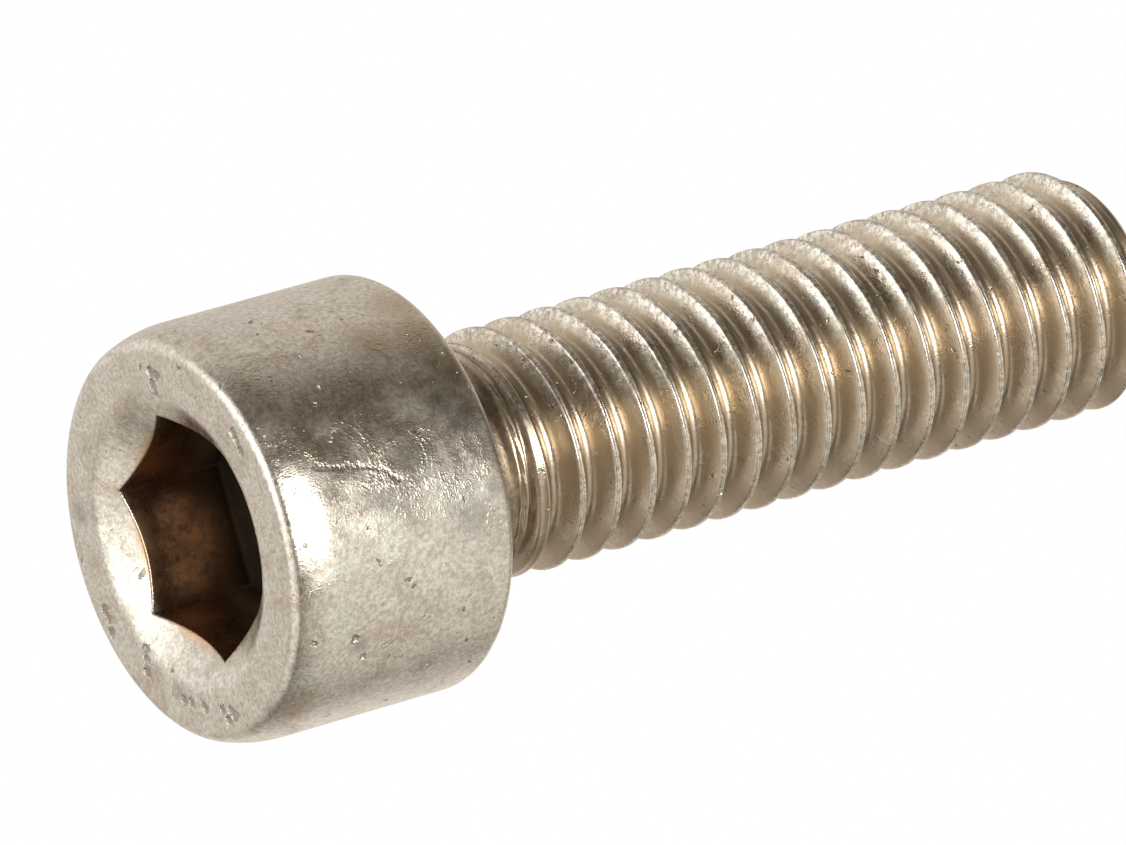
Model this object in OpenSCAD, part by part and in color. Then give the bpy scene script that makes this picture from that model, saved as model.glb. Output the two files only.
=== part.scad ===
// Hex socket cap screw, one solid piece of stainless steel, standing on its head.
// Z = 0 is the head's face with the socket; +Z runs along the axis to the threaded tip.
// The fine thread isn't cut here: the shank is the plain cylinder its crests touch.

/* [Head] */

// Diameter over the cylindrical side of the head, mm
head_d = 9.85; // [8:0.05:14]
// Height of the head from its face to the seat, mm
head_h = 6.0; // [5:0.1:9]
// Radius of the tight corner around the face, mm
rim_round = 0.3; // [0.1:0.05:0.6]
// How much narrower the gently curved front of the side is than the rest, on the radius, mm
front_in = 0.15; // [0.05:0.01:0.4]
// Height of the gently curved front of the side, mm
front_h = 1.2; // [0.8:0.05:2]
// Radius of the small rounding at the seat's outer edge, mm
seat_round = 0.3; // [0.1:0.05:0.6]

/* [Shank] */

// Diameter over the thread's crests, mm
shank_d = 5.9; // [4.9:0.05:7]
// Length from the seat to the flat tip, mm
shank_l = 20; // [10:0.5:60]
// Radius of the fillet between seat and shank, mm
neck_round = 0.25; // [0.1:0.05:0.4]
// Diameter of the flat at the tip, mm
tip_d = 4.7; // [3.6:0.1:4.8]
// Angle between the tip's chamfer and the screw's axis, degrees
tip_angle = 45; // [30:1:60]

/* [Socket] */

// Width of the hexagon across its flats, mm
socket_af = 5.05; // [3:0.05:5.6]
// Depth of the hexagon's full walls below the face, mm
socket_depth = 3.1; // [2:0.1:3.6]
// Included angle of the shallow cone in the socket's floor, degrees
floor_angle = 130; // [110:1:150]
// Outer diameter of the chamfer at the socket's mouth, mm
mouth_d = 6.8; // [6.6:0.05:7.4]
// Angle between the mouth's chamfer and the screw's axis, degrees
mouth_angle = 55; // [30:1:60]

/* [Hidden] */

// Fine enough that every turned surface counts as a true circle.
$fn = 96;

// A deliberate six-sided outline.
hex_sides = 6;
// How far a cutting tool reaches past the surface it enters, mm
past = 0.5;

steel = [0.72, 0.69, 0.64];

head_r = head_d / 2;
shank_r = shank_d / 2;
tip_r = tip_d / 2;
screw_h = head_h + shank_l;

// The front of the side is one wide arc that runs smoothly into the straight side. It would be
// front_in narrower at the height of the tight corner's centre.
arc_h = front_h - rim_round;
arc_r = (front_in * front_in + arc_h * arc_h) / (2 * front_in);
arc_x = head_r - arc_r;

// The tight corner touches the face and the wide arc. The line through both centres runs into
// the point where they touch; far_x and far_h are a point on it outside the head.
// The corner sits a hair further out than that, so that the two arcs cross and don't just graze.
hair = 0.0002;
corner_x = arc_x + sqrt(pow(arc_r - rim_round, 2) - arc_h * arc_h) + hair;
far_scale = (arc_r + past) / (arc_r - rim_round);
far_x = arc_x + (corner_x - arc_x) * far_scale;
far_h = front_h - arc_h * far_scale;

// Height of the tip's chamfer along the axis.
tip_h = (shank_r - tip_r) / tan(tip_angle);

// Radius of the circle through the hexagon's corners and of the one inside its flats.
hex_corner_r = socket_af / 2 / cos(180 / hex_sides);
hex_flat_r = socket_af / 2;

// The floor's cone starts a little inside the flats and ends in a point on the axis.
floor_ledge = 0.05;
floor_r = hex_flat_r - floor_ledge;
floor_h = floor_r / tan(floor_angle / 2);

// The mouth's chamfer as a cone from below the face up to its own point.
mouth_r = mouth_d / 2;
mouth_h = mouth_r / tan(mouth_angle);
mouth_over_r = mouth_r + past * tan(mouth_angle);

// The gently curved front of the side, down to where the tight corner takes over.
module front_section() {
    intersection() {
        translate([arc_x, front_h]) circle(r = arc_r);
        polygon([
            [arc_x, front_h],
            [far_x, far_h],
            [head_r + past, front_h + past],
            [arc_x, front_h + past],
        ]);
    }
}

// Half of the head's section: straight side, gently curved front, and both corners rounded.
module head_section() {
    translate([0, front_h]) square([head_r, head_h - front_h - seat_round]);
    square([corner_x, front_h + past]);
    front_section();
    translate([corner_x, rim_round]) circle(r = rim_round);
    translate([0, front_h + past]) square([head_r - seat_round, head_h - front_h - past]);
    translate([head_r - seat_round, head_h - seat_round]) circle(r = seat_round);
}

// Half of the shank's section, with the chamfered tip.
module shank_section() {
    polygon([
        [0, head_h - past],
        [shank_r, head_h - past],
        [shank_r, screw_h - tip_h],
        [tip_r, screw_h],
        [0, screw_h],
    ]);
}

// Half of the small fillet in the corner between seat and shank.
module neck_section() {
    difference() {
        translate([shank_r - past, head_h - past])
            square([past + neck_round, past + neck_round]);
        translate([shank_r + neck_round, head_h + neck_round]) circle(r = neck_round);
    }
}

// The turned body without its socket.
module turned_body() {
    rotate_extrude() {
        head_section();
        shank_section();
        neck_section();
    }
}

// The hexagon's walls, from outside the face down to the full depth.
module hex_walls() {
    translate([0, 0, -past])
        cylinder(h = past + socket_depth, r = hex_corner_r, $fn = hex_sides);
}

// The shallow cone in the floor of the socket.
module floor_cone() {
    translate([0, 0, socket_depth])
        cylinder(h = floor_h, r1 = floor_r, r2 = 0);
}

// The chamfer around the mouth, which leaves a crescent over each flat.
module mouth_cone() {
    translate([0, 0, -past])
        cylinder(h = past + mouth_h, r1 = mouth_over_r, r2 = 0);
}

module cap_screw() {
    color(steel)
        difference() {
            turned_body();
            hex_walls();
            floor_cone();
            mouth_cone();
        }
}

cap_screw();
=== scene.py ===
"""The looks of a hex socket cap screw: a worn stainless screw with a rolled thread.

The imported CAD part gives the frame. One closed mesh stands for it: the turned head with its
hexagon socket, the thread with its run-out under the head, and the chamfered tip.
"""

import math

import bpy
import numpy as np
from mathutils import Matrix, Vector


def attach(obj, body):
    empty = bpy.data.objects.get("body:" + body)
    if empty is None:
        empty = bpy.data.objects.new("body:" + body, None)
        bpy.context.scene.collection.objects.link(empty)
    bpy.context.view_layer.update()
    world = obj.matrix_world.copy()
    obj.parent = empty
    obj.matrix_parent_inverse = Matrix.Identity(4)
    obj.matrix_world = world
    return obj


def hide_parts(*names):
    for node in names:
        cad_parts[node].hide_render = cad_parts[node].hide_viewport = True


bl_info = {
    "name": "Hex socket cap screw",
    "version": (1, 0, 0),
    "blender": (4, 5, 0),
    "location": "3D View > Sidebar > Cap screw",
    "description": "Builds a worn stainless cap screw and a plain studio around it",
    "category": "Object",
}

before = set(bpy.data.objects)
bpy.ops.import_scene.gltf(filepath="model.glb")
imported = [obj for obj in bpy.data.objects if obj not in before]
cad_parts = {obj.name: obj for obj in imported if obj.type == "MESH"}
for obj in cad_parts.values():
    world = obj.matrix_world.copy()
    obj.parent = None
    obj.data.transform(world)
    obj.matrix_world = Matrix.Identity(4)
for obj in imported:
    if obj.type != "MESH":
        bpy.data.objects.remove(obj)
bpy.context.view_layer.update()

MM = 0.001
TURN = 2.0 * math.pi

# Small sizes of the mesh, in metres.
CREST_EDGE = 0.05 * MM
TIP_EDGE = 0.1 * MM
LEAST_BEND = 0.02 * MM
ROOT_START = 0.02 * MM
ROOT_SINK = 0.35 * MM
NECK_FLARE = 0.6 * MM
RIDGE_RISE = 0.11 * MM
RIDGE_WIDTH = 0.12 * MM
RIDGE_FALL = 0.6 * MM
CLEFT_OFF = 0.16 * MM
CLEFT_WIDTH = 0.07 * MM
CLEFT_DEPTH = 0.1 * MM
WAVER = 0.005 * MM
LIP_END = (1.6 * MM, 0.9 * MM)
HEX_EDGE = 0.045 * MM
WALL_END = 0.08 * MM
FLOOR_EDGE = 0.1 * MM
WELD = 0.00002 * MM

# The irregular wave: its sine waves, how often they go around and their radians in a millimetre.
WAVES = 9
WAVES_AROUND = 9
WAVES_ALONG = 2.2
SEEDS = {"seam": 5, "shank": 11, "ridge": 23, "cleft": 29}

# How irregular the crest's seam and the neck's ridge are, and how much deeper the seam starts.
SEAM_WAVER = 0.35
RIDGE_WAVER = 0.3
SEAM_START = 1.9
SEAM_EASE = 0.9

# Columns of half a side of the hexagon in degrees, rings of the tip's end as shares of its
# radius, and rows of one turn as shares of the pitch.
HALF_SIDE = (0.0, 0.5, 1.2, 2.2, 3.6, 5.5, 8.0, 11.0, 14.2, 17.4, 20.6, 23.8, 27.0, 30.0)
TIP_RINGS = (1.0, 0.985, 0.95, 0.88, 0.75, 0.55, 0.3, 0.1)
DISH_POWER = 0.7
TURN_ROWS = (
    (0.0, 0.022, 0.045, 0.07, 0.1, 0.15, 0.205, 0.26, 0.31, 0.36, 0.41, 0.455)
    + (0.5, 0.545, 0.59, 0.64, 0.69, 0.74, 0.795, 0.85, 0.9, 0.93, 0.955, 0.978)
)


# ---------------------------------------------------------------------------------- settings


def length(label, about, value_mm):
    """A length property; the value is given in millimetres and kept in metres."""
    return bpy.props.FloatProperty(
        name=label,
        description=about,
        default=value_mm * MM,
        min=0.0,
        precision=6,
        unit="LENGTH",
    )


def angle(label, about, degrees):
    return bpy.props.FloatProperty(
        name=label,
        description=about,
        default=math.radians(degrees),
        subtype="ANGLE",
    )


def share(label, about, value):
    return bpy.props.FloatProperty(
        name=label,
        description=about,
        default=value,
        min=0.0,
        max=1.0,
        subtype="FACTOR",
    )


def number(label, about, value):
    return bpy.props.FloatProperty(name=label, description=about, default=value)


def colour(label, about, value):
    return bpy.props.FloatVectorProperty(
        name=label,
        description=about,
        default=value,
        size=3,
        min=0.0,
        max=1.0,
        subtype="COLOR",
    )


def direction(label, about, value):
    return bpy.props.FloatVectorProperty(
        name=label,
        description=about,
        default=value,
        size=3,
        subtype="DIRECTION",
    )


class ScrewShape(bpy.types.PropertyGroup):
    """Sizes of the screw."""

    head_radius: length("Head radius", "Radius of the head's side", 4.9218)
    head_height: length("Head height", "From the face to the seat", 6.0)
    front_height: length("Front height", "Height of the side's gently curved front", 1.2)
    front_in: length("Front in", "How much narrower the side is at the face", 0.15)
    rim_round: length("Rim corner", "Radius of the tight corner around the face", 0.3)
    seat_round: length("Seat corner", "Radius of the corner around the seat", 0.3)
    neck_round: length("Neck fillet", "Radius of the fillet under the head", 0.25)
    total_height: length("Total height", "From the head's face to the tip", 26.0)
    tip_radius: length("Tip radius", "Radius of the flat at the tip", 2.35)
    tip_dish: length("Tip dish", "How far the middle of the tip is drawn in", 0.12)

    crest_radius: length("Crest radius", "Radius over the full thread", 2.95)
    flank_radius: length("Flank radius", "Radius where ridge and groove are equally wide", 2.625)
    root_radius: length("Root radius", "Radius at the bottom of the groove", 2.43)
    blank_radius: length("Blank radius", "Radius of the bare neck before the thread", 2.62)
    pitch: length("Pitch", "Advance of the thread in one turn", 1.0)
    phase: length("Thread phase", "Height of a crest over the X axis, less whole pitches", 0.95)
    run_out_from: length("Run-out start", "Height where the thread begins to rise", 7.4)
    run_out_to: length("Run-out end", "Height where the thread is full", 8.9)
    lip_dip: length("Crest seam", "Depth of the seam between the crest's two lips", 0.014)
    neck_end: length("Neck end", "Height where the bare neck ends in a small ridge", 7.85)

    flats: length("Hexagon", "Width of the hexagon across its flats", 5.05)
    hex_depth: length("Hexagon depth", "Depth of the hexagon's walls", 3.1)
    hex_corner: length("Hexagon corner", "Radius in the hexagon's upright corners", 0.07)
    floor_angle: angle("Floor angle", "Included angle of the socket's floor", 130.0)
    mouth_radius: length("Mouth radius", "Outer radius of the mouth's chamfer", 3.4)
    mouth_angle: angle("Mouth angle", "Angle between the mouth's chamfer and the axis", 55.0)
    mouth_round: length("Mouth rounding", "How far the mouth's outer edge is rounded", 0.22)


class ScrewLook(bpy.types.PropertyGroup):
    """Colours and finish of the screw."""

    steel: colour("Steel", "Bare stainless steel", (0.64, 0.585, 0.52))
    steel_cool: colour("Cool steel", "Slightly cooler patches", (0.57, 0.555, 0.5))
    # Tarnish, which also serves as the painted shade and painted warm inter-reflection in the thread's
    # grooves.
    tarnish_and_shade: colour("Tarnish", "Light brown film in grooves and on some spots", (0.415, 0.34, 0.25))
    # Dark film in the socket with painted shade over it, as in a deep recess.
    socket_film_and_shade: colour("Socket film", "Dark film inside the socket", (0.58, 0.37, 0.225))
    stain: colour("Stain", "Faint brown stains", (0.42, 0.34, 0.26))
    # Darker grey: real smudges, and painted shade that dims the head side's highlight.
    smudge_and_shade: colour("Smudge", "Darker grey smudges", (0.3, 0.29, 0.27))
    # Painted glints: bright flecks in the colour that stand in for specular sparkle.
    painted_glint: colour("Painted glint", "Bright rubbed flecks", (0.85, 0.82, 0.76))
    # Painted shade on the bare neck under the head and in the cleft before the first crest.
    neck_shade: colour("Neck", "Brown dirt on the bare neck under the head", (0.17, 0.125, 0.085))
    # Painted shadow on the socket's floor.
    socket_floor_shadow: colour("Socket floor", "Almost black film on the socket's floor", (0.035, 0.025, 0.018))
    # Painted warm light: an orange patch standing in for a lit reflection on one socket wall.
    warm_patch: colour("Warm patch", "Warm patch on one wall of the socket", (0.6, 0.31, 0.15))
    # Dark specks and pits, also used for the painted shade along the crest's seam.
    dirt: colour("Specks", "Dark specks and pits", (0.16, 0.12, 0.09))
    roughness: share("Roughness", "Roughness of the plain steel", 0.31)
    grain_size: length("Grain size", "Width of the surface's grain", 0.05)
    grain_depth: number("Grain depth", "Strength of the grain in the bump", 1.1)


class ScrewStage(bpy.types.PropertyGroup):
    """Camera, lights and floor."""

    lens: bpy.props.FloatProperty(
        name="Lens",
        description="Focal length in millimetres",
        default=484.365,
        unit="CAMERA",
    )
    camera_at: bpy.props.FloatVectorProperty(
        name="Camera place",
        description="Where the camera is",
        default=(4.538 * MM, 296.49 * MM, -176.193 * MM),
        size=3,
        precision=6,
        unit="LENGTH",
    )
    camera_back: direction("Camera back", "From the subject to the camera", (0.01229, 0.8457, -0.53352))
    camera_up: direction("Camera up", "Up in the picture", (0.96403, 0.13165, 0.23088))
    floor_size: length("Floor size", "Width of the floor", 400.0)
    floor_colour: colour("Floor colour", "Colour of the floor", (0.95, 0.95, 0.95))
    backdrop: colour("Backdrop", "Colour behind the screw", (1.0, 1.0, 1.0))
    room: colour("Room", "Light from where no soft wall is", (0.165, 0.135, 0.1))


# ------------------------------------------------------------------------------ screw's mesh


def smooth_min(a, b, width):
    """The lower of two heights, with the crease between them rounded over that width."""
    near = np.clip((width - np.abs(a - b)) / width, 0.0, None)
    return np.minimum(a, b) - near * near * width * 0.25


def ramp(x, low, high):
    """0 below low, 1 above high, and a smooth rise between."""
    t = np.clip((x - low) / (high - low), 0.0, 1.0)
    return t * t * (3.0 - 2.0 * t)


def wobble(theta, z, seed):
    """A slow irregular wave over the surface, between about -1 and 1."""
    rng = np.random.default_rng(seed)
    total = np.zeros(np.broadcast(theta, z).shape)
    for _ in range(WAVES):
        around = rng.integers(1, WAVES_AROUND)
        along = rng.uniform(-WAVES_ALONG, WAVES_ALONG) / MM
        total += np.sin(around * theta + along * z + rng.uniform(0.0, TURN))
    return total / (WAVES / 2.0)


def column_angles():
    """Angles of the mesh's columns: closer together at the hexagon's corners."""
    half = np.array(HALF_SIDE)
    sector = np.concatenate([half, 60.0 - half[-2:0:-1]])
    degrees = np.concatenate([sector + 60.0 * k for k in range(6)])
    return np.radians(degrees)


def thread_radius(theta, z, s):
    """Radius of the threaded shank at an angle and a height."""
    slope = math.tan(math.radians(60.0))
    turns = (z - s.phase) / s.pitch - theta / TURN
    u = np.abs(turns - np.round(turns)) * s.pitch

    risen = ramp(z, s.run_out_from, s.run_out_to)
    sunk = ramp(z, s.neck_end, s.neck_end + ROOT_SINK)
    crest = s.blank_radius + (s.crest_radius - s.blank_radius) * risen
    root = s.blank_radius - ROOT_START + (s.root_radius - s.blank_radius) * sunk

    # The crest is two lips with a seam between them, deepest where the thread isn't full.
    half_crest = s.pitch / 4.0 + (s.flank_radius - crest) / slope
    inward = np.clip(u / half_crest, 0.0, 1.0)
    closed = 1.0 - ramp(z, s.total_height - LIP_END[0], s.total_height - LIP_END[1])
    dip = s.lip_dip * (SEAM_START - SEAM_EASE * risen) * closed * (1.0 - inward**2)
    crest = crest - dip * (1.0 + SEAM_WAVER * wobble(theta, z, SEEDS["seam"]))

    # The groove's bottom is an arc that both flanks touch.
    flank = s.flank_radius + slope * (s.pitch / 4.0 - u)
    vertex = s.flank_radius - slope * s.pitch / 4.0
    bend_radius = np.maximum(root - vertex, LEAST_BEND)
    touch = bend_radius * math.cos(math.radians(30.0))
    off = np.clip(s.pitch / 2.0 - u, 0.0, touch)
    arc_bottom = vertex + 2.0 * bend_radius - np.sqrt(bend_radius**2 - off**2)
    groove = np.where(s.pitch / 2.0 - u < touch, arc_bottom, flank)
    radius = smooth_min(crest, groove, CREST_EDGE)

    # A small ridge ends the bare neck, with a cleft between it and the first crest.
    ridge = np.exp(-(((z - s.neck_end) / RIDGE_WIDTH) ** 2))
    uneven = 1.0 + RIDGE_WAVER * wobble(theta, z, SEEDS["ridge"])
    raised = RIDGE_RISE * uneven - RIDGE_FALL * (1.0 - ridge)
    radius = np.maximum(radius, s.blank_radius + raised)
    cleft = np.exp(-(((z - s.neck_end - CLEFT_OFF) / CLEFT_WIDTH) ** 2))
    uneven = 1.0 + RIDGE_WAVER * wobble(theta, z, SEEDS["cleft"])
    radius = radius - CLEFT_DEPTH * cleft * uneven
    radius = radius + WAVER * wobble(theta, z, SEEDS["shank"]) * sunk

    fillet_top = s.head_height + NECK_FLARE
    neck = s.blank_radius + (s.crest_radius - s.blank_radius) * (
        1.0 - ramp(z, s.head_height + s.neck_round, fillet_top)
    )
    radius = np.where(z < fillet_top, np.maximum(radius, neck), radius)
    tip = s.tip_radius + (s.total_height - z)
    radius = smooth_min(radius, tip, TIP_EDGE)
    return np.minimum(radius, s.crest_radius)


def thread_triangles(theta, s):
    """The thread as triangles in rows that follow the helix, clamped to level rings at both ends."""
    rows = np.array(TURN_ROWS)
    low = s.head_height + s.neck_round
    high = s.total_height
    first = s.phase + s.pitch * math.floor((low - s.phase) / s.pitch - 1.0)
    turns = int(math.ceil((high - first) / s.pitch)) + 1
    steps = np.concatenate([rows + k for k in range(turns)]) * s.pitch

    full = np.append(theta, TURN)
    z = first + steps[:, None] + s.pitch * full[None, :] / TURN
    z = np.clip(z, low, high)
    around = np.broadcast_to(full[None, :], z.shape)
    radius = thread_radius(around, z, s)
    points = np.stack([radius * np.cos(around), radius * np.sin(around), z], axis=-1)
    return grid_triangles(points)


def grid_triangles(points):
    """Triangles of a grid of points, as three corners each."""
    a = points[:-1, :-1].reshape(-1, 3)
    b = points[:-1, 1:].reshape(-1, 3)
    c = points[1:, 1:].reshape(-1, 3)
    d = points[1:, :-1].reshape(-1, 3)
    return np.concatenate([np.stack([a, b, c], 1), np.stack([a, c, d], 1)])


def arc(centre, radius, start, stop, count):
    """Points of an arc in the section, as radius and height."""
    a = np.radians(np.linspace(start, stop, count))
    return [(centre[0] + radius * math.cos(t), centre[1] + radius * math.sin(t)) for t in a]


def head_section(s):
    """The head's section from the neck out, down the side and in over the face to the mouth."""
    top = s.head_height
    neck_x = s.crest_radius + s.neck_round
    points = arc((neck_x, top + s.neck_round), s.neck_round, 180.0, 270.0, 8)
    seat_in = s.head_radius - s.seat_round
    for f in (0.15, 0.4, 0.65, 0.9):
        points.append((neck_x + (seat_in - neck_x) * f, top))
    points += arc((seat_in, top - s.seat_round), s.seat_round, 90.0, 0.0, 9)

    side_low = s.front_height
    side_high = top - s.seat_round
    for f in np.linspace(0.0, 1.0, 12)[1:-1]:
        points.append((s.head_radius, side_high + (side_low - side_high) * f))

    # The front of the side is a wide arc that runs into a tight corner at the face.
    rise = s.front_height - s.rim_round
    wide = (s.front_in**2 + rise**2) / (2.0 * s.front_in)
    wide_x = s.head_radius - wide
    corner_x = wide_x + math.sqrt((wide - s.rim_round) ** 2 - rise**2)
    meet = math.degrees(math.atan2(s.rim_round - s.front_height, corner_x - wide_x))
    points += arc((wide_x, s.front_height), wide, 0.0, meet, 10)[:-1]
    points += arc((corner_x, s.rim_round), s.rim_round, meet, -90.0, 9)

    face_in = s.mouth_radius + s.mouth_round
    for f in (0.12, 0.3, 0.5, 0.7, 0.88):
        points.append((corner_x + (face_in - corner_x) * f, 0.0))
    return points


def hexagon_radius(theta, s):
    """Distance from the axis to the hexagon's wall, with its upright corners slightly rounded."""
    inside = s.flats / 2.0
    folded = np.abs((theta + math.pi / 6.0) % (math.pi / 3.0) - math.pi / 6.0)
    straight = inside / np.cos(math.pi / 6.0 - folded)
    corner = inside / math.cos(math.pi / 6.0)
    # A round corner of this radius ends where the two walls touch it.
    centre = corner - s.hex_corner / math.sin(math.radians(60.0))
    across = centre * np.sin(folded)
    rounded = centre * np.cos(folded) + np.sqrt(np.clip(s.hex_corner**2 - across**2, 0.0, None))
    touch = math.atan2(s.hex_corner * 0.5, centre + s.hex_corner * math.cos(math.radians(30.0)))
    return np.where(folded < touch, np.minimum(straight, rounded), straight)


def bend(p0, p1, p2, count):
    """A rounded corner from p0 to p2 around p1, as (radius, height) rows."""
    out = []
    for t in np.linspace(0.0, 1.0, count):
        a = (1.0 - t) ** 2
        b = 2.0 * t * (1.0 - t)
        c = t * t
        out.append((a * p0[0] + b * p1[0] + c * p2[0], a * p0[1] + b * p1[1] + c * p2[1]))
    return out


def socket_rows(theta, s):
    """Rows of the socket: rounded mouth, chamfer with its crescents, walls and shallow floor."""
    wall = hexagon_radius(theta, s)
    flat = np.zeros_like(theta)
    slope = 1.0 / math.tan(s.mouth_angle)
    edge_z = (s.mouth_radius - wall) * slope
    mouth = (flat + s.mouth_radius, flat)
    edge = (wall, edge_z)

    start = (flat + s.mouth_radius + s.mouth_round, flat)
    along = np.minimum(s.mouth_round, (s.mouth_radius - wall) * 0.45)
    inner = (flat + s.mouth_radius - along, along * slope)
    rows = bend(start, mouth, inner, 7)
    before = (wall + HEX_EDGE, edge_z - HEX_EDGE * slope)
    for f in (0.33, 0.66):
        rows.append(tuple(a + (b - a) * f for a, b in zip(inner, before)))
    after = (wall, edge_z + HEX_EDGE)
    rows += bend(before, edge, after, 5)

    floor_slope = 1.0 / math.tan(s.floor_angle / 2.0)
    before = (wall, s.hex_depth - WALL_END)
    for f in np.linspace(0.0, 1.0, 9)[1:-1]:
        rows.append((wall, after[1] + (before[1] - after[1]) * f))
    inner_floor = (wall - FLOOR_EDGE, s.hex_depth + FLOOR_EDGE * floor_slope)
    rows += bend(before, (wall, s.hex_depth + flat), inner_floor, 5)
    for f in (0.8, 0.6, 0.4, 0.2, 0.08):
        r = (wall - FLOOR_EDGE) * f
        rows.append((r, s.hex_depth + (s.flats / 2.0 - r) * floor_slope))
    return rows


def ring_points(theta, rows):
    """Points of rings, closed at the last column."""
    full = np.append(theta, TURN)
    out = []
    for radius, z in rows:
        r = np.broadcast_to(np.asarray(radius, float), theta.shape)
        h = np.broadcast_to(np.asarray(z, float), theta.shape)
        r = np.append(r, r[0])
        h = np.append(h, h[0])
        out.append(np.stack([r * np.cos(full), r * np.sin(full), h], axis=-1))
    return np.array(out)


def fan_triangles(ring, centre, flip):
    """Triangles from a ring to one point."""
    a = ring[:-1]
    b = ring[1:]
    c = np.broadcast_to(np.asarray(centre, float), a.shape)
    return np.stack([b, a, c], 1) if flip else np.stack([a, b, c], 1)


def screw_triangles(s):
    """All triangles of the screw, wound to face outwards."""
    theta = column_angles()
    parts = [thread_triangles(theta, s)]

    head = ring_points(theta, head_section(s) + socket_rows(theta, s))
    parts.append(grid_triangles(head)[:, ::-1])
    floor_top = s.hex_depth + s.flats / 2.0 / math.tan(s.floor_angle / 2.0)
    parts.append(fan_triangles(head[-1], (0.0, 0.0, floor_top), True))

    rim = thread_radius(theta, np.full_like(theta, s.total_height), s)
    rows = []
    for f in TIP_RINGS:
        rows.append((rim * f, s.total_height - s.tip_dish * (1.0 - f) ** DISH_POWER))
    end = ring_points(theta, rows)
    parts.append(grid_triangles(end))
    parts.append(fan_triangles(end[-1], (0.0, 0.0, s.total_height - s.tip_dish), False))
    return np.concatenate(parts)


def welded(triangles):
    """Shared vertices and faces from loose triangles; collapsed triangles are left out."""
    corners = triangles.reshape(-1, 3)
    keys = np.round(corners / WELD + 0.25).astype(np.int64)
    _, first, index = np.unique(keys, axis=0, return_index=True, return_inverse=True)
    faces = index.reshape(-1, 3)
    a, b, c = faces.T
    whole = (a != b) & (b != c) & (c != a)
    return corners[first], faces[whole]


# -------------------------------------------------------------------------- material's pieces


FLOAT = "NodeSocketFloat"
VECTOR = "NodeSocketVector"


def add_node(tree, kind, place, **inputs):
    """A node with its inputs set or linked; names use _ for spaces, or are slot numbers after _."""
    node = tree.nodes.new(kind)
    node.location = place
    for key, value in inputs.items():
        slot = node.inputs[int(key[1:])] if key[1:].isdigit() else node.inputs[key.replace("_", " ")]
        if isinstance(value, bpy.types.NodeSocket):
            tree.links.new(value, slot)
        else:
            slot.default_value = value
    return node


def maths(tree, operation, place, a, b=None):
    """One step of arithmetic on one or two values."""
    inputs = {"_0": a} if b is None else {"_0": a, "_1": b}
    node = add_node(tree, "ShaderNodeMath", place, **inputs)
    node.operation = operation
    return node.outputs[0]


def product(tree, place, a, b):
    """Two values multiplied."""
    return maths(tree, "MULTIPLY", place, a, b)


def added(tree, place, a, b):
    """The sum of two values."""
    return maths(tree, "ADD", place, a, b)


def vector_maths(tree, operation, place, *values):
    """A vector node with its first inputs linked or set. Returns the node."""
    node = tree.nodes.new("ShaderNodeVectorMath")
    node.operation = operation
    node.location = place
    for slot, value in zip(node.inputs, values):
        if isinstance(value, bpy.types.NodeSocket):
            tree.links.new(value, slot)
        else:
            slot.default_value = value
    return node


def mapped(tree, place, value, low, high, to_low=0.0, to_high=1.0):
    """A smooth ramp of a value."""
    node = tree.nodes.new("ShaderNodeMapRange")
    node.location = place
    node.interpolation_type = "SMOOTHSTEP"
    tree.links.new(value, node.inputs["Value"])
    node.inputs["From Min"].default_value = low
    node.inputs["From Max"].default_value = high
    node.inputs["To Min"].default_value = to_low
    node.inputs["To Max"].default_value = to_high
    return node.outputs[0]


def blended(tree, place, factor, a, b, mode="MIX"):
    """A colour mix; a and b are colours or sockets."""
    node = tree.nodes.new("ShaderNodeMix")
    node.data_type = "RGBA"
    node.blend_type = mode
    node.clamp_factor = False
    node.location = place
    for slot, value in ((node.inputs[0], factor), (node.inputs[6], a), (node.inputs[7], b)):
        if isinstance(value, bpy.types.NodeSocket):
            tree.links.new(value, slot)
        elif isinstance(value, float):
            slot.default_value = value
        else:
            slot.default_value = tuple(value) + (1.0,)
    return node.outputs[2]


def noise(tree, place, where, scale, detail, roughness, distortion=0.0):
    """A noise between 0 and 1."""
    node = add_node(
        tree,
        "ShaderNodeTexNoise",
        place,
        Vector=where,
        Scale=scale,
        Detail=detail,
        Roughness=roughness,
        Distortion=distortion,
    )
    return node.outputs[0]


def new_group(name, inputs, outputs):
    """An empty node group with named sockets. Returns the tree, its input node and its output node."""
    tree = bpy.data.node_groups.new(name, "ShaderNodeTree")
    for label, kind in inputs:
        tree.interface.new_socket(name=label, in_out="INPUT", socket_type=kind)
    for label in outputs:
        tree.interface.new_socket(name=label, in_out="OUTPUT", socket_type=FLOAT)
    start = tree.nodes.new("NodeGroupInput")
    start.location = (-1400, 0)
    end = tree.nodes.new("NodeGroupOutput")
    end.location = (900, 0)
    return tree, start, end


# Where the masks fade, as pairs in millimetres. The socket's mask is inside a radius and
# between two heights, and the grooves' tarnish and painted shade are widest on the side of the thread
# painted darker as if in shade.
SOCKET_REACH = (2.88, 2.96)
SOCKET_FROM = (0.42, 0.66)
SOCKET_TO = (4.6, 4.8)
SHADED_SIDE = (-0.77, 0.64)
SHADED_SIDE_FADE = (0.5, 1.9)
CLEFT_FADE = (0.02, 0.08)
CLEFT_SHADE = 0.6
# The seam's fade is in shares of the pitch. The others are counted from the seat's height, the
# tip's, root's and crest's radius, the hexagon's depth and the neck's end.
SEAM_FADE = (0.006, 0.04)
SEAT_FADE = (0.05, 0.3)
TIP_FADE = (-0.08, -0.01)
ROOT_FADE = 0.1
TOP_FADE = -0.02
CREST_FADE = (-0.07, 0.02)
DEEP_FADE = (-1.5, 0.1)
NECK_FADE = (-0.16, -0.06)


def ends_near(size, offsets):
    """A fade's two ends, from a size and the offsets to it."""
    return [size + offset for offset in offsets]


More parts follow.
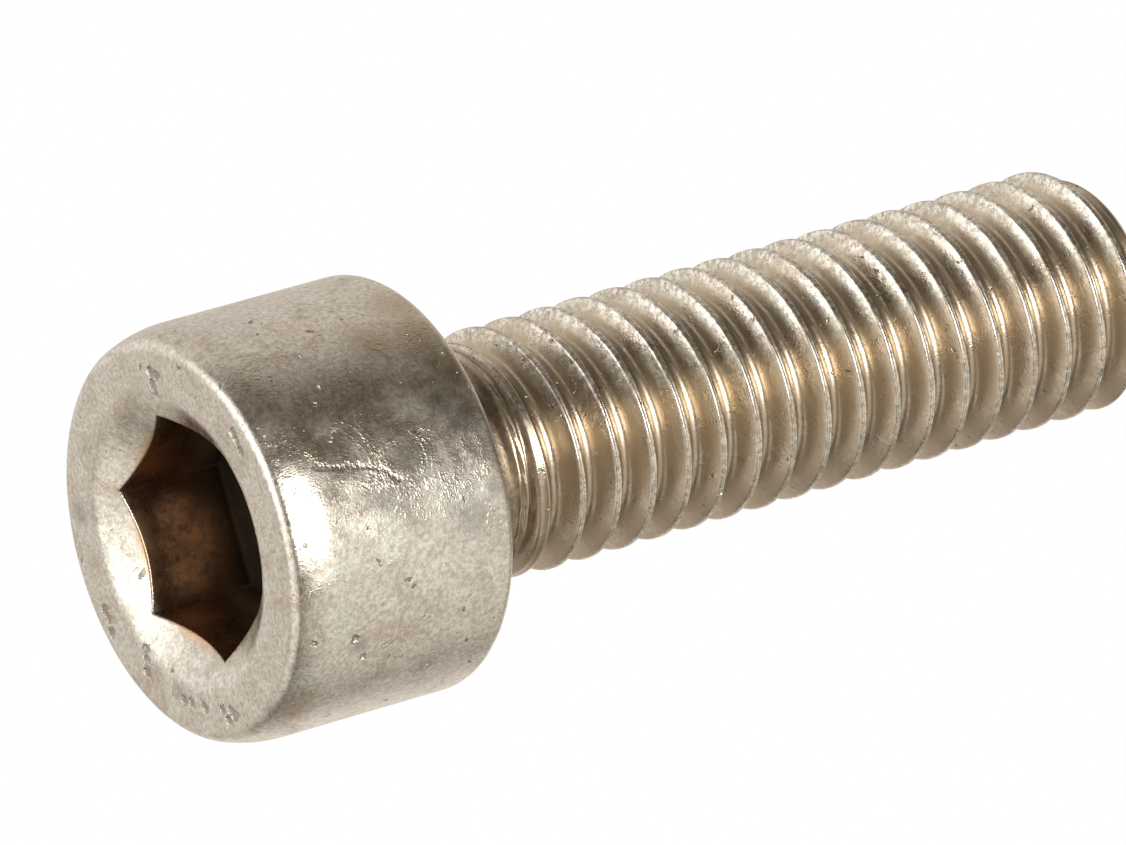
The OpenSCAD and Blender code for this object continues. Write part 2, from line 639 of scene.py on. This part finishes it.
def regions_group(s):
    """Where on the screw a point is, as masks that fade at their edges."""
    outputs = ("Groove film and shade", "Seam", "Socket", "Floor", "Thread", "Neck")
    tree, start, end = new_group("Screw regions", [("Place", VECTOR)], outputs)
    parts = add_node(tree, "ShaderNodeSeparateXYZ", (-1200, 0), Vector=start.outputs[0])
    x, y, z = parts.outputs
    flat = add_node(tree, "ShaderNodeCombineXYZ", (-1000, 200), X=x, Y=y)
    radius = vector_maths(tree, "LENGTH", (-800, 200), flat.outputs[0]).outputs["Value"]

    seat = s.head_height / MM
    root = s.root_radius / MM
    crest = s.crest_radius / MM
    tip = s.tip_radius / MM
    threaded = mapped(tree, (-600, -200), z, *ends_near(seat, SEAT_FADE))
    beside_tip = mapped(tree, (-600, -50), radius, *ends_near(tip, TIP_FADE))
    depth = mapped(tree, (-600, 200), radius, root + ROOT_FADE, crest + TOP_FADE, 1.0, 0.0)
    # One side of the thread gets painted shade: there the grooves' brown reaches the crest.
    side_x = product(tree, (-900, 400), x, SHADED_SIDE[0])
    side_y = product(tree, (-900, 500), y, SHADED_SIDE[1])
    side = mapped(tree, (-600, 500), added(tree, (-750, 500), side_x, side_y), *SHADED_SIDE_FADE)
    wide = mapped(tree, (-600, 350), radius, *ends_near(crest, CREST_FADE), 1.0, 0.0)
    wide = product(tree, (-450, 400), wide, side)
    depth = maths(tree, "MAXIMUM", (-450, 250), depth, wide)
    depth = product(tree, (-450, 100), depth, beside_tip)
    groove = product(tree, (-300, 200), depth, threaded)

    # The seam follows the helix: its mask is 1 on the crest's middle line and 0 beside it.
    around = maths(tree, "ARCTAN2", (-1000, -100), y, x)
    turn = maths(tree, "DIVIDE", (-800, -100), around, TURN)
    along = maths(tree, "SUBTRACT", (-1000, -300), z, s.phase / MM)
    pitches = maths(tree, "DIVIDE", (-800, -300), along, s.pitch / MM)
    phase = maths(tree, "SUBTRACT", (-600, -400), pitches, turn)
    shifted = added(tree, (-450, -400), phase, 0.5)
    part = maths(tree, "FRACT", (-300, -400), shifted)
    off = maths(tree, "SUBTRACT", (-150, -400), part, 0.5)
    gap = maths(tree, "ABSOLUTE", (0, -400), off)
    # Painted shade along the seam's line.
    line = mapped(tree, (150, -400), gap, *SEAM_FADE, 1.0, 0.0)
    seam = product(tree, (300, -400), line, threaded)

    inner = mapped(tree, (-600, 600), radius, *SOCKET_REACH, 1.0, 0.0)
    low = mapped(tree, (-600, 800), z, *SOCKET_FROM)
    high = mapped(tree, (-600, 1000), z, *SOCKET_TO, 1.0, 0.0)
    inside = product(tree, (-300, 700), inner, low)
    socket = product(tree, (-100, 800), inside, high)
    # Painted shade: the socket darkens towards its floor.
    bottom = s.hex_depth / MM
    deep = mapped(tree, (-300, 1100), z, *ends_near(bottom, DEEP_FADE))
    deep = product(tree, (0, 1000), deep, socket)

    # The bare neck and the cleft before the first crest get painted shade.
    ridge = s.neck_end / MM
    bare = mapped(tree, (-600, -800), z, *ends_near(ridge, NECK_FADE), 1.0, 0.0)
    bare = product(tree, (-450, -800), bare, threaded)
    cleft = maths(tree, "SUBTRACT", (-900, -900), z, ridge + CLEFT_OFF / MM)
    cleft = maths(tree, "ABSOLUTE", (-750, -900), cleft)
    cleft = mapped(tree, (-600, -900), cleft, *CLEFT_FADE, CLEFT_SHADE, 0.0)
    bare = maths(tree, "MAXIMUM", (-300, -800), bare, cleft)

    for k, value in enumerate((groove, seam, socket, deep, threaded, bare)):
        tree.links.new(value, end.inputs[k])
    return tree


# Scale per millimetre, detail, roughness and distortion of each noise. The finest one takes its
# scale from the grain size.
FINE_NOISE = (2.0, 0.6)
NOISES = {
    "coarse": (4.2, 4.0, 0.6, 0.0),
    "wave": (0.55, 2.0, 0.5, 0.0),
    "spots": (3.1, 3.0, 0.62, 0.3),
    "mottle": (1.15, 6.0, 0.68, 0.25),
    "speckle": (9.0, 3.0, 0.7, 0.0),
    "dots": (6.5, 4.0, 0.75, 0.0),
    "cloud": (0.9, 5.0, 0.7, 0.6),
}
COARSE_SHARE = 0.3

# Ramps of a noise or a mask: from and to, then what they give at both ends when not 0 and 1.
RAMPS = {
    "pits": (0.66, 0.74),
    "specks": (0.6, 0.7),
    "painted_glints": (0.34, 0.42, 1.0, 0.0),
    "stains": (0.5, 0.68),
    "cool": (0.38, 0.66),
    "slow shade": (0.25, 0.75, 0.84, 1.14),
    "fine shade": (0.3, 0.7, 0.74, 1.2),
    "thread glints and mottle": (0.4, 0.6, -0.36, 0.4),
    "film_and_shade": (0.3, 0.6, 0.7, 1.0),
    "neck shade": (0.35, 0.6, 0.5, 0.9),
    "painted seam shade": (0.35, 0.6, 0.08, 0.42),
    "uneven rust": (0.35, 0.65, 0.5, 1.0),
    "rust metal": (0.0, 1.0, 1.0, 0.25),
}


def grain_group():
    """Fine uneven grain, slow waves and pits, as heights and masks."""
    inputs = [("Place", VECTOR), ("Grain", FLOAT)]
    outputs = ("Grain height", "Wave height", "Pits", "Mottle", "Speckle")
    outputs += ("Specks", "Painted glints", "Stains", "Dots")
    tree, start, end = new_group("Steel grain", inputs, outputs)
    place = start.outputs["Place"]
    fine = noise(tree, (-1000, 300), place, start.outputs["Grain"], *FINE_NOISE)
    found = {}
    for k, (name, values) in enumerate(NOISES.items()):
        found[name] = noise(tree, (-1000, -300 * k), place, *values)
    dots = found["dots"]
    grain = added(tree, (-550, 200), fine, product(tree, (-750, 0), found["coarse"], COARSE_SHARE))
    pits = mapped(tree, (-700, -600), found["spots"], *RAMPS["pits"])
    specks = mapped(tree, (-700, -1500), dots, *RAMPS["specks"])
    # Painted glints, taken from the dots.
    painted_glints = mapped(tree, (-700, -1700), dots, *RAMPS["painted_glints"])
    stains = mapped(tree, (-700, -1900), found["cloud"], *RAMPS["stains"])
    values = (grain, found["wave"], pits, found["mottle"], found["speckle"])
    values += (specks, painted_glints, stains, dots)
    for k, value in enumerate(values):
        tree.links.new(value, end.inputs[k])
    return tree


# How much of its own colour each mark shows, and how far it stands out in the bump.
SHARES = {
    "Stains": 0.6,
    "Smudges and shade": 0.7,
    "Painted glints": 0.5,
    "Pits": 0.75,
    "Specks": 0.5,
    "Ticks": 0.5,
    "Gold": 0.75,
}
HEIGHTS = {"Wave": 1.2, "Pits": -1.2, "Ticks": -7.0, "Dents": -4.0, "Scratch": -0.7}
BUMP_DEPTH = 0.012 * MM
WEAK_GRAIN = 0.45

# The grain lost on the thread and in the socket.
GRAIN_LOSS = {"Thread": -0.4, "Socket": -0.8}

# Roughness: how far the mottling moves it, between its two ends, and what is added everywhere,
# in the grooves' tarnish and painted shade, where the steel is worn and on the socket's floor.
MOTTLE_ENDS = (0.3, 0.7)
ROUGH_LESS = 0.05
ROUGH_MORE = 0.1
ROUGHER = {"everywhere": -0.045, "film_and_shade": 0.02, "worn": 0.2, "floor": 0.45}


def used_group(tree, group, location, place):
    """A node of a group, with the place in millimetres linked in."""
    node = tree.nodes.new("ShaderNodeGroup")
    node.node_tree = group
    node.location = location
    tree.links.new(place, node.inputs["Place"])
    return node


def steel_colour(tree, look, regions, grain, marks):
    """The steel's colour. Returns it with the masks of specks, pits, ticks and painted seam shade, of
    places outside the socket and of the socket's painted warm light.
    """
    mottle = grain["Mottle"]
    patch = mapped(tree, (-1300, 500), mottle, *RAMPS["cool"])
    base = blended(tree, (-1000, 500), patch, look.steel, look.steel_cool)
    slow = mapped(tree, (-1300, 200), mottle, *RAMPS["slow shade"])
    speckle = mapped(tree, (-1300, 0), grain["Speckle"], *RAMPS["fine shade"])
    shade = product(tree, (-1250, 100), slow, speckle)
    # On the thread, random mottling that also paints bright glints along with dark specks into the
    # colour.
    glints_and_mottle = mapped(tree, (-1300, -150), grain["Dots"], *RAMPS["thread glints and mottle"])
    glints_and_mottle = product(tree, (-1200, -150), glints_and_mottle, regions["Thread"])
    shade = added(tree, (-1150, 0), shade, glints_and_mottle)
    tone = add_node(tree, "ShaderNodeCombineColor", (-1100, 200), Red=shade, Green=shade, Blue=shade)
    base = blended(tree, (-900, 450), 1.0, base, tone.outputs[0], "MULTIPLY")
    stained = product(tree, (-900, 250), grain["Stains"], SHARES["Stains"])
    base = blended(tree, (-750, 450), stained, base, look.stain)
    # Smudges, partly painted shade that dims the highlight on the head's side.
    smudge_and_shade_share = product(tree, (-900, 50), marks["Smudges and shade"], SHARES["Smudges and shade"])
    base = blended(tree, (-650, 450), smudge_and_shade_share, base, look.smudge_and_shade)
    # Painted glints: bright flecks standing in for sparkle.
    glinted = product(tree, (-900, -50), grain["Painted glints"], SHARES["Painted glints"])
    base = blended(tree, (-600, 450), glinted, base, look.painted_glint)
    # The grooves' tarnish and painted shade are thinner where the slow mottling is light, so the
    # grooves aren't evenly brown.
    film_and_shade = mapped(tree, (-900, 700), mottle, *RAMPS["film_and_shade"])
    film_and_shade = product(tree, (-700, 700), film_and_shade, regions["Groove film and shade"])
    base = blended(tree, (-500, 450), film_and_shade, base, look.tarnish_and_shade)
    # Painted shade on the bare neck under the head and in the cleft.
    neck_shaded = mapped(tree, (-600, 800), grain["Dots"], *RAMPS["neck shade"])
    neck_shaded = product(tree, (-450, 800), neck_shaded, regions["Neck"])
    base = blended(tree, (-450, 450), neck_shaded, base, look.neck_shade)
    # Painted shade in the socket over its dark film, and painted shadow on the socket's floor.
    base = blended(tree, (-400, 450), regions["Socket"], base, look.socket_film_and_shade)
    base = blended(tree, (-300, 450), regions["Floor"], base, look.socket_floor_shadow)

    pitted = product(tree, (-700, 100), grain["Pits"], SHARES["Pits"])
    specked = product(tree, (-700, 150), grain["Specks"], SHARES["Specks"])
    # Painted shade along the crest's seam, broken up by the speckle.
    broken_seam_shade = mapped(tree, (-800, -50), grain["Speckle"], *RAMPS["painted seam shade"])
    seam = product(tree, (-600, -50), regions["Seam"], broken_seam_shade)
    hollow = product(tree, (-600, -150), marks["Ticks"], SHARES["Ticks"])
    dark = maths(tree, "MAXIMUM", (-450, 50), pitted, specked)
    seam_shade_and_ticks = maths(tree, "MAXIMUM", (-500, -50), seam, hollow)
    # Worn: pits, specks and ticks, together with the painted seam shade.
    worn = maths(tree, "MAXIMUM", (-400, 0), dark, seam_shade_and_ticks)
    outside_socket = maths(tree, "SUBTRACT", (-500, -100), 1.0, regions["Socket"])
    worn = product(tree, (-350, 0), worn, outside_socket)
    base = blended(tree, (-200, 400), worn, base, look.dirt)

    # The warm patch in the socket is painted warm light, a dull orange patch standing in for a lit
    # reflection on one wall, and outside it is a faint gold tint.
    uneven = mapped(tree, (-350, 700), grain["Dots"], *RAMPS["uneven rust"])
    painted_warm_light = product(tree, (-200, 500), regions["Socket"], marks["Warm patches"])
    painted_warm_light = product(tree, (-200, 650), painted_warm_light, uneven)
    gold = product(tree, (-350, 600), marks["Warm patches"], outside_socket)
    gold = product(tree, (-200, 600), gold, SHARES["Gold"])
    base = blended(tree, (-150, 400), gold, base, look.tarnish_and_shade)
    base = blended(tree, (-100, 400), painted_warm_light, base, look.warm_patch)
    return base, worn, outside_socket, painted_warm_light


def steel_roughness(tree, look, regions, mottle, worn):
    """The steel's roughness: slow patches, duller where it is worn, along the painted seam shade and on
    the socket's floor under its painted shadow.
    """
    smooth = look.roughness - ROUGH_LESS
    dull = look.roughness + ROUGH_MORE
    rough = mapped(tree, (-1000, -100), mottle, *MOTTLE_ENDS, smooth, dull)
    duller = product(tree, (-600, -250), worn, ROUGHER["worn"])
    rough = added(tree, (-400, -150), rough, duller)
    groove_rough = product(tree, (-600, -350), regions["Groove film and shade"], ROUGHER["film_and_shade"])
    groove_rough = added(tree, (-450, -350), groove_rough, ROUGHER["everywhere"])
    rough = added(tree, (-300, -200), rough, groove_rough)
    floor_rough = product(tree, (-600, -450), regions["Floor"], ROUGHER["floor"])
    return added(tree, (-250, -250), rough, floor_rough)


def steel_height(tree, look, regions, grain, marks, outside_socket):
    """The surface's height for the bump: grain, slow waves and the marks."""
    weak = WEAK_GRAIN * look.grain_depth
    patchy = mapped(tree, (-1400, -500), grain["Stains"], 0.0, 1.0, weak, look.grain_depth)
    # Rolling leaves the thread smoother than the head, and the socket is smoother still.
    thread_loss = product(tree, (-1300, -600), regions["Thread"], GRAIN_LOSS["Thread"])
    socket_loss = product(tree, (-1300, -700), regions["Socket"], GRAIN_LOSS["Socket"])
    loss = added(tree, (-1200, -600), thread_loss, socket_loss)
    strength = product(tree, (-1100, -500), patchy, added(tree, (-1150, -650), loss, 1.0))
    height = product(tree, (-1000, -500), grain["Grain height"], strength)
    deep = product(tree, (-1000, -700), grain["Wave height"], HEIGHTS["Wave"])
    height = added(tree, (-800, -600), height, deep)
    masks = {name: marks[name] for name in ("Ticks", "Dents", "Scratch")}
    masks = {"Pits": product(tree, (-900, -800), grain["Pits"], outside_socket), **masks}
    for name, mask in masks.items():
        raised = product(tree, (-700, -800), mask, HEIGHTS[name])
        height = added(tree, (-500, -600), height, raised)
    return height


def steel_material(s, look):
    """Worn stainless steel: mottled and grainy, with tarnish and painted shade in the grooves, painted
    shade in the socket and on the neck, and painted glints.
    """
    material = bpy.data.materials.new("Worn stainless steel")
    material.use_nodes = True
    tree = material.node_tree
    tree.nodes.clear()
    where = tree.nodes.new("ShaderNodeTexCoord")
    where.location = (-2200, 0)
    scaled = vector_maths(tree, "SCALE", (-2000, 0), where.outputs["Object"])
    scaled.inputs["Scale"].default_value = 1.0 / MM
    place = scaled.outputs[0]
    regions = used_group(tree, regions_group(s), (-1700, 300), place).outputs
    textured = used_group(tree, grain_group(), (-1700, -200), place)
    textured.inputs["Grain"].default_value = MM / look.grain_size
    grain = textured.outputs
    marks = used_group(tree, marks_group(), (-1700, -700), place).outputs

    base, worn, outside_socket, painted_warm_light = steel_colour(tree, look, regions, grain, marks)
    metal = mapped(tree, (0, 600), painted_warm_light, *RAMPS["rust metal"])
    rough = steel_roughness(tree, look, regions, grain["Mottle"], worn)
    height = steel_height(tree, look, regions, grain, marks, outside_socket)
    bump = add_node(
        tree,
        "ShaderNodeBump",
        (-300, -600),
        Strength=1.0,
        Distance=BUMP_DEPTH,
        Height=height,
    )
    shader = add_node(
        tree,
        "ShaderNodeBsdfPrincipled",
        (100, 200),
        Base_Color=base,
        Roughness=rough,
        Metallic=metal,
        Normal=bump.outputs[0],
    )
    out = tree.nodes.new("ShaderNodeOutputMaterial")
    out.location = (450, 200)
    tree.links.new(shader.outputs[0], out.inputs[0])
    return material


# Spots on the screw, each a place and a radius in millimetres. Ticks are short generic strikes on
# the face, dents and the scratch are on the side and the thread, smudges are darker steel, partly
# real smudges and partly painted shade that dims the head side's highlight, and the warm patches are
# painted warm light on one socket wall and faint gold ones on the head's side. The ruffle makes
# their edges uneven.
TICK_RADIUS = 0.17
SCRATCH_RADIUS = 0.13
RUFFLE_SCALE = 6.0
RUFFLE = 0.22
SOLID_SHARE = {"ticks": 0.35, "dents": 0.2, "scratch": 0.1, "smudges_and_shade": 0.0, "warm_patch": 0.0}
TICKS = (
    ((3.44, 0.80, 0.0), (3.62, 0.80, 0.0), (3.92, 0.84, 0.0), (3.80, 1.02, 0.0)),
    ((2.11, 3.62, 0.0), (1.90, 3.70, 0.0), (1.63, 3.73, 0.0)),
    ((-1.10, -3.96, 0.0), (-1.28, -3.92, 0.0), (-1.63, -3.92, 0.0)),
    ((-2.21, -2.70, 0.0), (-2.42, -2.72, 0.0), (-2.72, -2.83, 0.0)),
    ((-3.54, -1.56, 0.0), (-3.62, -1.30, 0.0), (-3.82, -0.79, 0.0)),
    ((-4.05, 0.32, 0.0), (-4.16, 0.42, 0.0), (-3.98, -0.05, 0.0), (-4.22, 0.12, 0.0)),
)
DENTS = (
    ((-3.16, 3.78, 1.57), 0.14),
    ((-3.61, 3.35, 1.88), 0.12),
    ((-4.18, 2.60, 3.90), 0.10),
    ((-2.22, 1.94, 13.51), 0.13),
    ((-2.30, 1.85, 13.36), 0.10),
    ((3.33, 3.63, 2.24), 0.07),
    ((2.55, 4.21, 2.13), 0.08),
)
SCRATCH = (
    (0.84, 4.85, 1.15),
    (0.78, 4.86, 1.40),
    (0.72, 4.87, 1.65),
    (0.67, 4.88, 1.92),
    (0.62, 4.88, 2.20),
    (0.55, 4.89, 2.46),
    (0.42, 4.91, 2.70),
    (0.25, 4.92, 2.93),
    (0.06, 4.92, 3.14),
)
# The first three are painted warm light on a socket wall; the others are faint gold tint on the head's
# side.
WARM_PATCHES = (
    ((-0.10, -2.55, 1.85), 1.40),
    ((-0.75, -2.50, 1.60), 1.00),
    ((0.55, -2.50, 1.70), 1.00),
    ((3.18, 3.76, 5.30), 1.40),
    ((2.42, 4.29, 5.40), 0.90),
    ((3.28, 3.67, 4.13), 1.10),
    ((3.90, 3.02, 5.50), 1.30),
)
# The large spots on the head's side are painted shade over its highlight; the small ones by the dents
# and on the face are smudges.
SMUDGES_AND_SHADE = (
    ((-0.35, 4.91, 4.70), 1.15),
    ((-0.30, 4.91, 2.95), 1.15),
    ((0.30, 4.90, 3.80), 0.95),
    ((-0.53, 4.90, 4.40), 1.20),
    ((-1.05, 4.82, 4.85), 1.10),
    ((0.95, 4.83, 5.25), 0.85),
    ((1.49, 4.69, 5.00), 0.75),
    ((2.10, 4.45, 5.45), 0.70),
    ((0.20, 4.92, 5.45), 0.60),
    ((-0.70, 4.87, 5.50), 0.50),
    ((3.33, 3.63, 2.24), 0.22),
    ((2.55, 4.21, 2.13), 0.20),
    ((-3.30, 3.65, 1.70), 0.42),
    ((-4.18, 2.60, 3.90), 0.35),
    ((-3.30, -1.70, 0.0), 0.40),
    ((1.20, -3.90, 0.0), 0.50),
)


def spot_mask(tree, place, spots, left, solid):
    """The strongest of several round spots: 1 inside the solid share of each radius, 0 outside."""
    best = None
    for k, (centre, radius) in enumerate(spots):
        low = -160 * k
        away = vector_maths(tree, "DISTANCE", (left, low), place, centre).outputs["Value"]
        inside = mapped(tree, (left + 180, low), away, radius * solid, radius, 1.0, 0.0)
        if best is None:
            best = inside
        else:
            best = maths(tree, "MAXIMUM", (left + 360, low), best, inside)
    return best


def marks_group():
    """Strikes, dents, one scratch, smudges and warm patches at set places on the screw."""
    outputs = ("Ticks", "Dents", "Scratch", "Smudges and shade", "Warm patches")
    tree, start, end = new_group("Marks", [("Place", VECTOR)], outputs)
    ruffle = add_node(
        tree,
        "ShaderNodeTexNoise",
        (-1600, -300),
        Vector=start.outputs[0],
        Scale=RUFFLE_SCALE,
    )
    middle = (0.5, 0.5, 0.5)
    centred = vector_maths(tree, "SUBTRACT", (-1450, -300), ruffle.outputs["Color"], middle)
    amount = (RUFFLE, RUFFLE, RUFFLE)
    shift = vector_maths(
        tree,
        "MULTIPLY_ADD",
        (-1300, 0),
        centred.outputs[0],
        amount,
        start.outputs[0],
    )
    place = shift.outputs[0]

    ticks = [(at, TICK_RADIUS) for strike in TICKS for at in strike]
    between = [tuple((a + b) / 2.0 for a, b in zip(p, q)) for p, q in zip(SCRATCH, SCRATCH[1:])]
    scratch = [(at, SCRATCH_RADIUS) for at in list(SCRATCH) + between]
    spots = {"ticks": ticks, "dents": DENTS, "scratch": scratch, "smudges_and_shade": SMUDGES_AND_SHADE, "warm_patch": WARM_PATCHES}
    end.location = (2200, 0)
    for k, (name, some) in enumerate(spots.items()):
        mask = spot_mask(tree, place, some, -1100 + 600 * k, SOLID_SHARE[name])
        tree.links.new(mask, end.inputs[k])
    return tree


class SCREW_OT_build(bpy.types.Operator):
    """Build the screw's mesh and its steel"""

    bl_idname = "screw.build"
    bl_label = "Build screw"

    def execute(self, context):
        s = context.scene.screw_shape
        vertices, faces = welded(screw_triangles(s))
        mesh = bpy.data.meshes.new("Cap screw")
        mesh.from_pydata(vertices.tolist(), [], faces.tolist())
        mesh.validate()
        mesh.shade_smooth()
        mesh.materials.append(steel_material(s, context.scene.screw_look))
        piece = bpy.data.objects.new("screw_body", mesh)
        context.collection.objects.link(piece)
        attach(piece, "root")
        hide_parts("cap_screw")
        return {"FINISHED"}


# ------------------------------------------------------------------------------------- stage


# Soft bright walls around the screw: name, direction in the camera's axes, the cosines between
# which the wall fades in, strength and tint.
SOFT_WALLS = (
    ("behind", (-0.4, 0.35, -0.85), 0.04, 0.58, 0.67, (1.0, 0.95, 0.89)),
    ("left wall", (-0.85, 0.35, -0.4), 0.75, 0.98, 0.3, (0.94, 1.0, 1.02)),
    ("left window", (-0.84, 0.12, 0.53), 0.7, 0.97, 1.25, (0.98, 1.0, 0.99)),
    ("low left", (-0.57, -0.66, 0.48), 0.66, 0.96, 1.0, (1.0, 0.97, 0.92)),
    ("lamp", (-0.79, 0.14, 0.59), 0.93, 0.99, 2.2, (1.0, 0.99, 0.95)),
    ("right", (0.87, -0.05, 0.49), 0.74, 0.97, 0.12, (1.0, 0.98, 0.93)),
    ("right below", (0.84, -0.5, 0.08), 0.62, 0.97, 0.8, (1.0, 0.99, 0.92)),
    ("below", (0.2, -0.62, -0.75), 0.65, 0.96, 0.22, (1.0, 0.94, 0.88)),
)


KEY_LIGHT = {
    "toward": (0.52, 0.03, 0.85),
    "reach": 0.3,
    "size": (0.15, 0.12),
    "power": 1.1,
    "tint": (1.0, 0.98, 0.93),
}
AIM_HEIGHT = 11.0 * MM
FLOOR_DROP = 0.0002 * MM


def view_matrix(t):
    """Camera axes (right, up, back) as columns."""
    back = Vector(t.camera_back).normalized()
    up = Vector(t.camera_up)
    right = up.cross(back).normalized()
    up = back.cross(right)
    return Matrix((right, up, back)).transposed()


def soft_light(name, middle, axes, toward, reach, size, power, tint):
    """A rectangular light, placed by a direction in the camera's axes and aimed at the screw."""
    data = bpy.data.lights.new(name, "AREA")
    data.shape = "RECTANGLE"
    data.size = size[0]
    data.size_y = size[1]
    data.energy = power
    data.color = tint
    light = bpy.data.objects.new(name, data)
    bpy.context.collection.objects.link(light)
    way = (axes @ Vector(toward)).normalized()
    light.location = middle + way * reach
    across = axes @ Vector((1.0, 0.0, 0.0))
    across = (across - way * across.dot(way)).normalized()
    turned = Matrix((across, way.cross(across), way)).transposed()
    light.rotation_euler = turned.to_euler()
    light.visible_camera = False
    return light


class SCREW_OT_stage(bpy.types.Operator):
    """Set up the camera, the lights, the world and the floor"""

    bl_idname = "screw.stage"
    bl_label = "Set up studio"

    def execute(self, context):
        t = context.scene.screw_stage
        axes = view_matrix(t)
        middle = Vector((0.0, 0.0, AIM_HEIGHT))
        self.camera(context, t, axes)
        self.world(context, t, axes)
        self.floor(context, t)
        soft_light("Key light", middle, axes, **KEY_LIGHT)
        return {"FINISHED"}

    def camera(self, context, t, axes):
        data = bpy.data.cameras.new("Camera")
        data.lens = t.lens
        data.sensor_width = 36.0
        data.clip_start = 0.01
        data.clip_end = 10.0
        camera = bpy.data.objects.new("Camera", data)
        context.collection.objects.link(camera)
        camera.matrix_world = Matrix.Translation(t.camera_at) @ axes.to_4x4()
        context.scene.camera = camera

    def world(self, context, t, axes):
        world = bpy.data.worlds.new("Studio")
        world.use_nodes = True
        tree = world.node_tree
        tree.nodes.clear()
        where = tree.nodes.new("ShaderNodeTexCoord")
        glow = tuple(t.room)
        for k, (_, toward, low, high, strength, tint) in enumerate(SOFT_WALLS):
            down = -250 * k
            wall = axes @ Vector(toward).normalized()
            facing = vector_maths(tree, "DOT_PRODUCT", (-900, down), where.outputs["Generated"], wall)
            value = facing.outputs["Value"]
            patch = mapped(tree, (-700, down), value, low, high, 0.0, strength)
            glow = blended(tree, (-500 + 150 * k, down), patch, glow, tint, "ADD")
        light = add_node(tree, "ShaderNodeBackground", (700, 0), Color=glow, Strength=1.0)
        backdrop = tuple(t.backdrop) + (1.0,)
        seen = add_node(tree, "ShaderNodeBackground", (700, -200), Color=backdrop, Strength=1.0)
        path = tree.nodes.new("ShaderNodeLightPath")
        path.location = (700, 300)
        mix = tree.nodes.new("ShaderNodeMixShader")
        mix.location = (950, 0)
        tree.links.new(path.outputs["Is Camera Ray"], mix.inputs[0])
        tree.links.new(light.outputs[0], mix.inputs[1])
        tree.links.new(seen.outputs[0], mix.inputs[2])
        out = tree.nodes.new("ShaderNodeOutputWorld")
        out.location = (1150, 0)
        tree.links.new(mix.outputs[0], out.inputs[0])
        context.scene.world = world
        context.scene.view_settings.view_transform = "Standard"

    def floor(self, context, t):
        half = t.floor_size / 2.0
        corners = [(-half, -half), (half, -half), (half, half), (-half, half)]
        mesh = bpy.data.meshes.new("Floor")
        mesh.from_pydata([(x, y, -FLOOR_DROP) for x, y in corners], [], [(0, 1, 2, 3)])
        material = bpy.data.materials.new("Pale floor")
        material.use_nodes = True
        tree = material.node_tree
        tree.nodes.clear()
        pale = tuple(t.floor_colour) + (1.0,)
        matte = add_node(tree, "ShaderNodeBsdfDiffuse", (-200, 100), Color=pale)
        clear = tree.nodes.new("ShaderNodeBsdfTransparent")
        side = tree.nodes.new("ShaderNodeNewGeometry")
        mix = tree.nodes.new("ShaderNodeMixShader")
        tree.links.new(side.outputs["Backfacing"], mix.inputs[0])
        tree.links.new(matte.outputs[0], mix.inputs[1])
        tree.links.new(clear.outputs[0], mix.inputs[2])
        out = tree.nodes.new("ShaderNodeOutputMaterial")
        tree.links.new(mix.outputs[0], out.inputs[0])
        mesh.materials.append(material)
        floor = bpy.data.objects.new("Floor", mesh)
        context.collection.objects.link(floor)
        floor.visible_diffuse = False
        floor.visible_glossy = False
        floor.visible_transmission = False
        floor.visible_shadow = False


class SCREW_PT_panel(bpy.types.Panel):
    """Settings and buttons of the cap screw"""

    bl_label = "Cap screw"
    bl_idname = "SCREW_PT_panel"
    bl_space_type = "VIEW_3D"
    bl_region_type = "UI"
    bl_category = "Cap screw"

    def draw(self, context):
        layout = self.layout
        layout.operator("screw.build")
        layout.operator("screw.stage")
        for group in (context.scene.screw_shape, context.scene.screw_look, context.scene.screw_stage):
            box = layout.box()
            for name in group.__annotations__:
                box.prop(group, name)


CLASSES = (ScrewShape, ScrewLook, ScrewStage, SCREW_OT_build, SCREW_OT_stage, SCREW_PT_panel)


def register():
    for cls in CLASSES:
        bpy.utils.register_class(cls)
    bpy.types.Scene.screw_shape = bpy.props.PointerProperty(type=ScrewShape)
    bpy.types.Scene.screw_look = bpy.props.PointerProperty(type=ScrewLook)
    bpy.types.Scene.screw_stage = bpy.props.PointerProperty(type=ScrewStage)


def unregister():
    del bpy.types.Scene.screw_stage
    del bpy.types.Scene.screw_look
    del bpy.types.Scene.screw_shape
    for cls in reversed(CLASSES):
        bpy.utils.unregister_class(cls)


def main():
    register()
    bpy.ops.screw.build()
    bpy.ops.screw.stage()


if __name__ == "__main__":
    main()
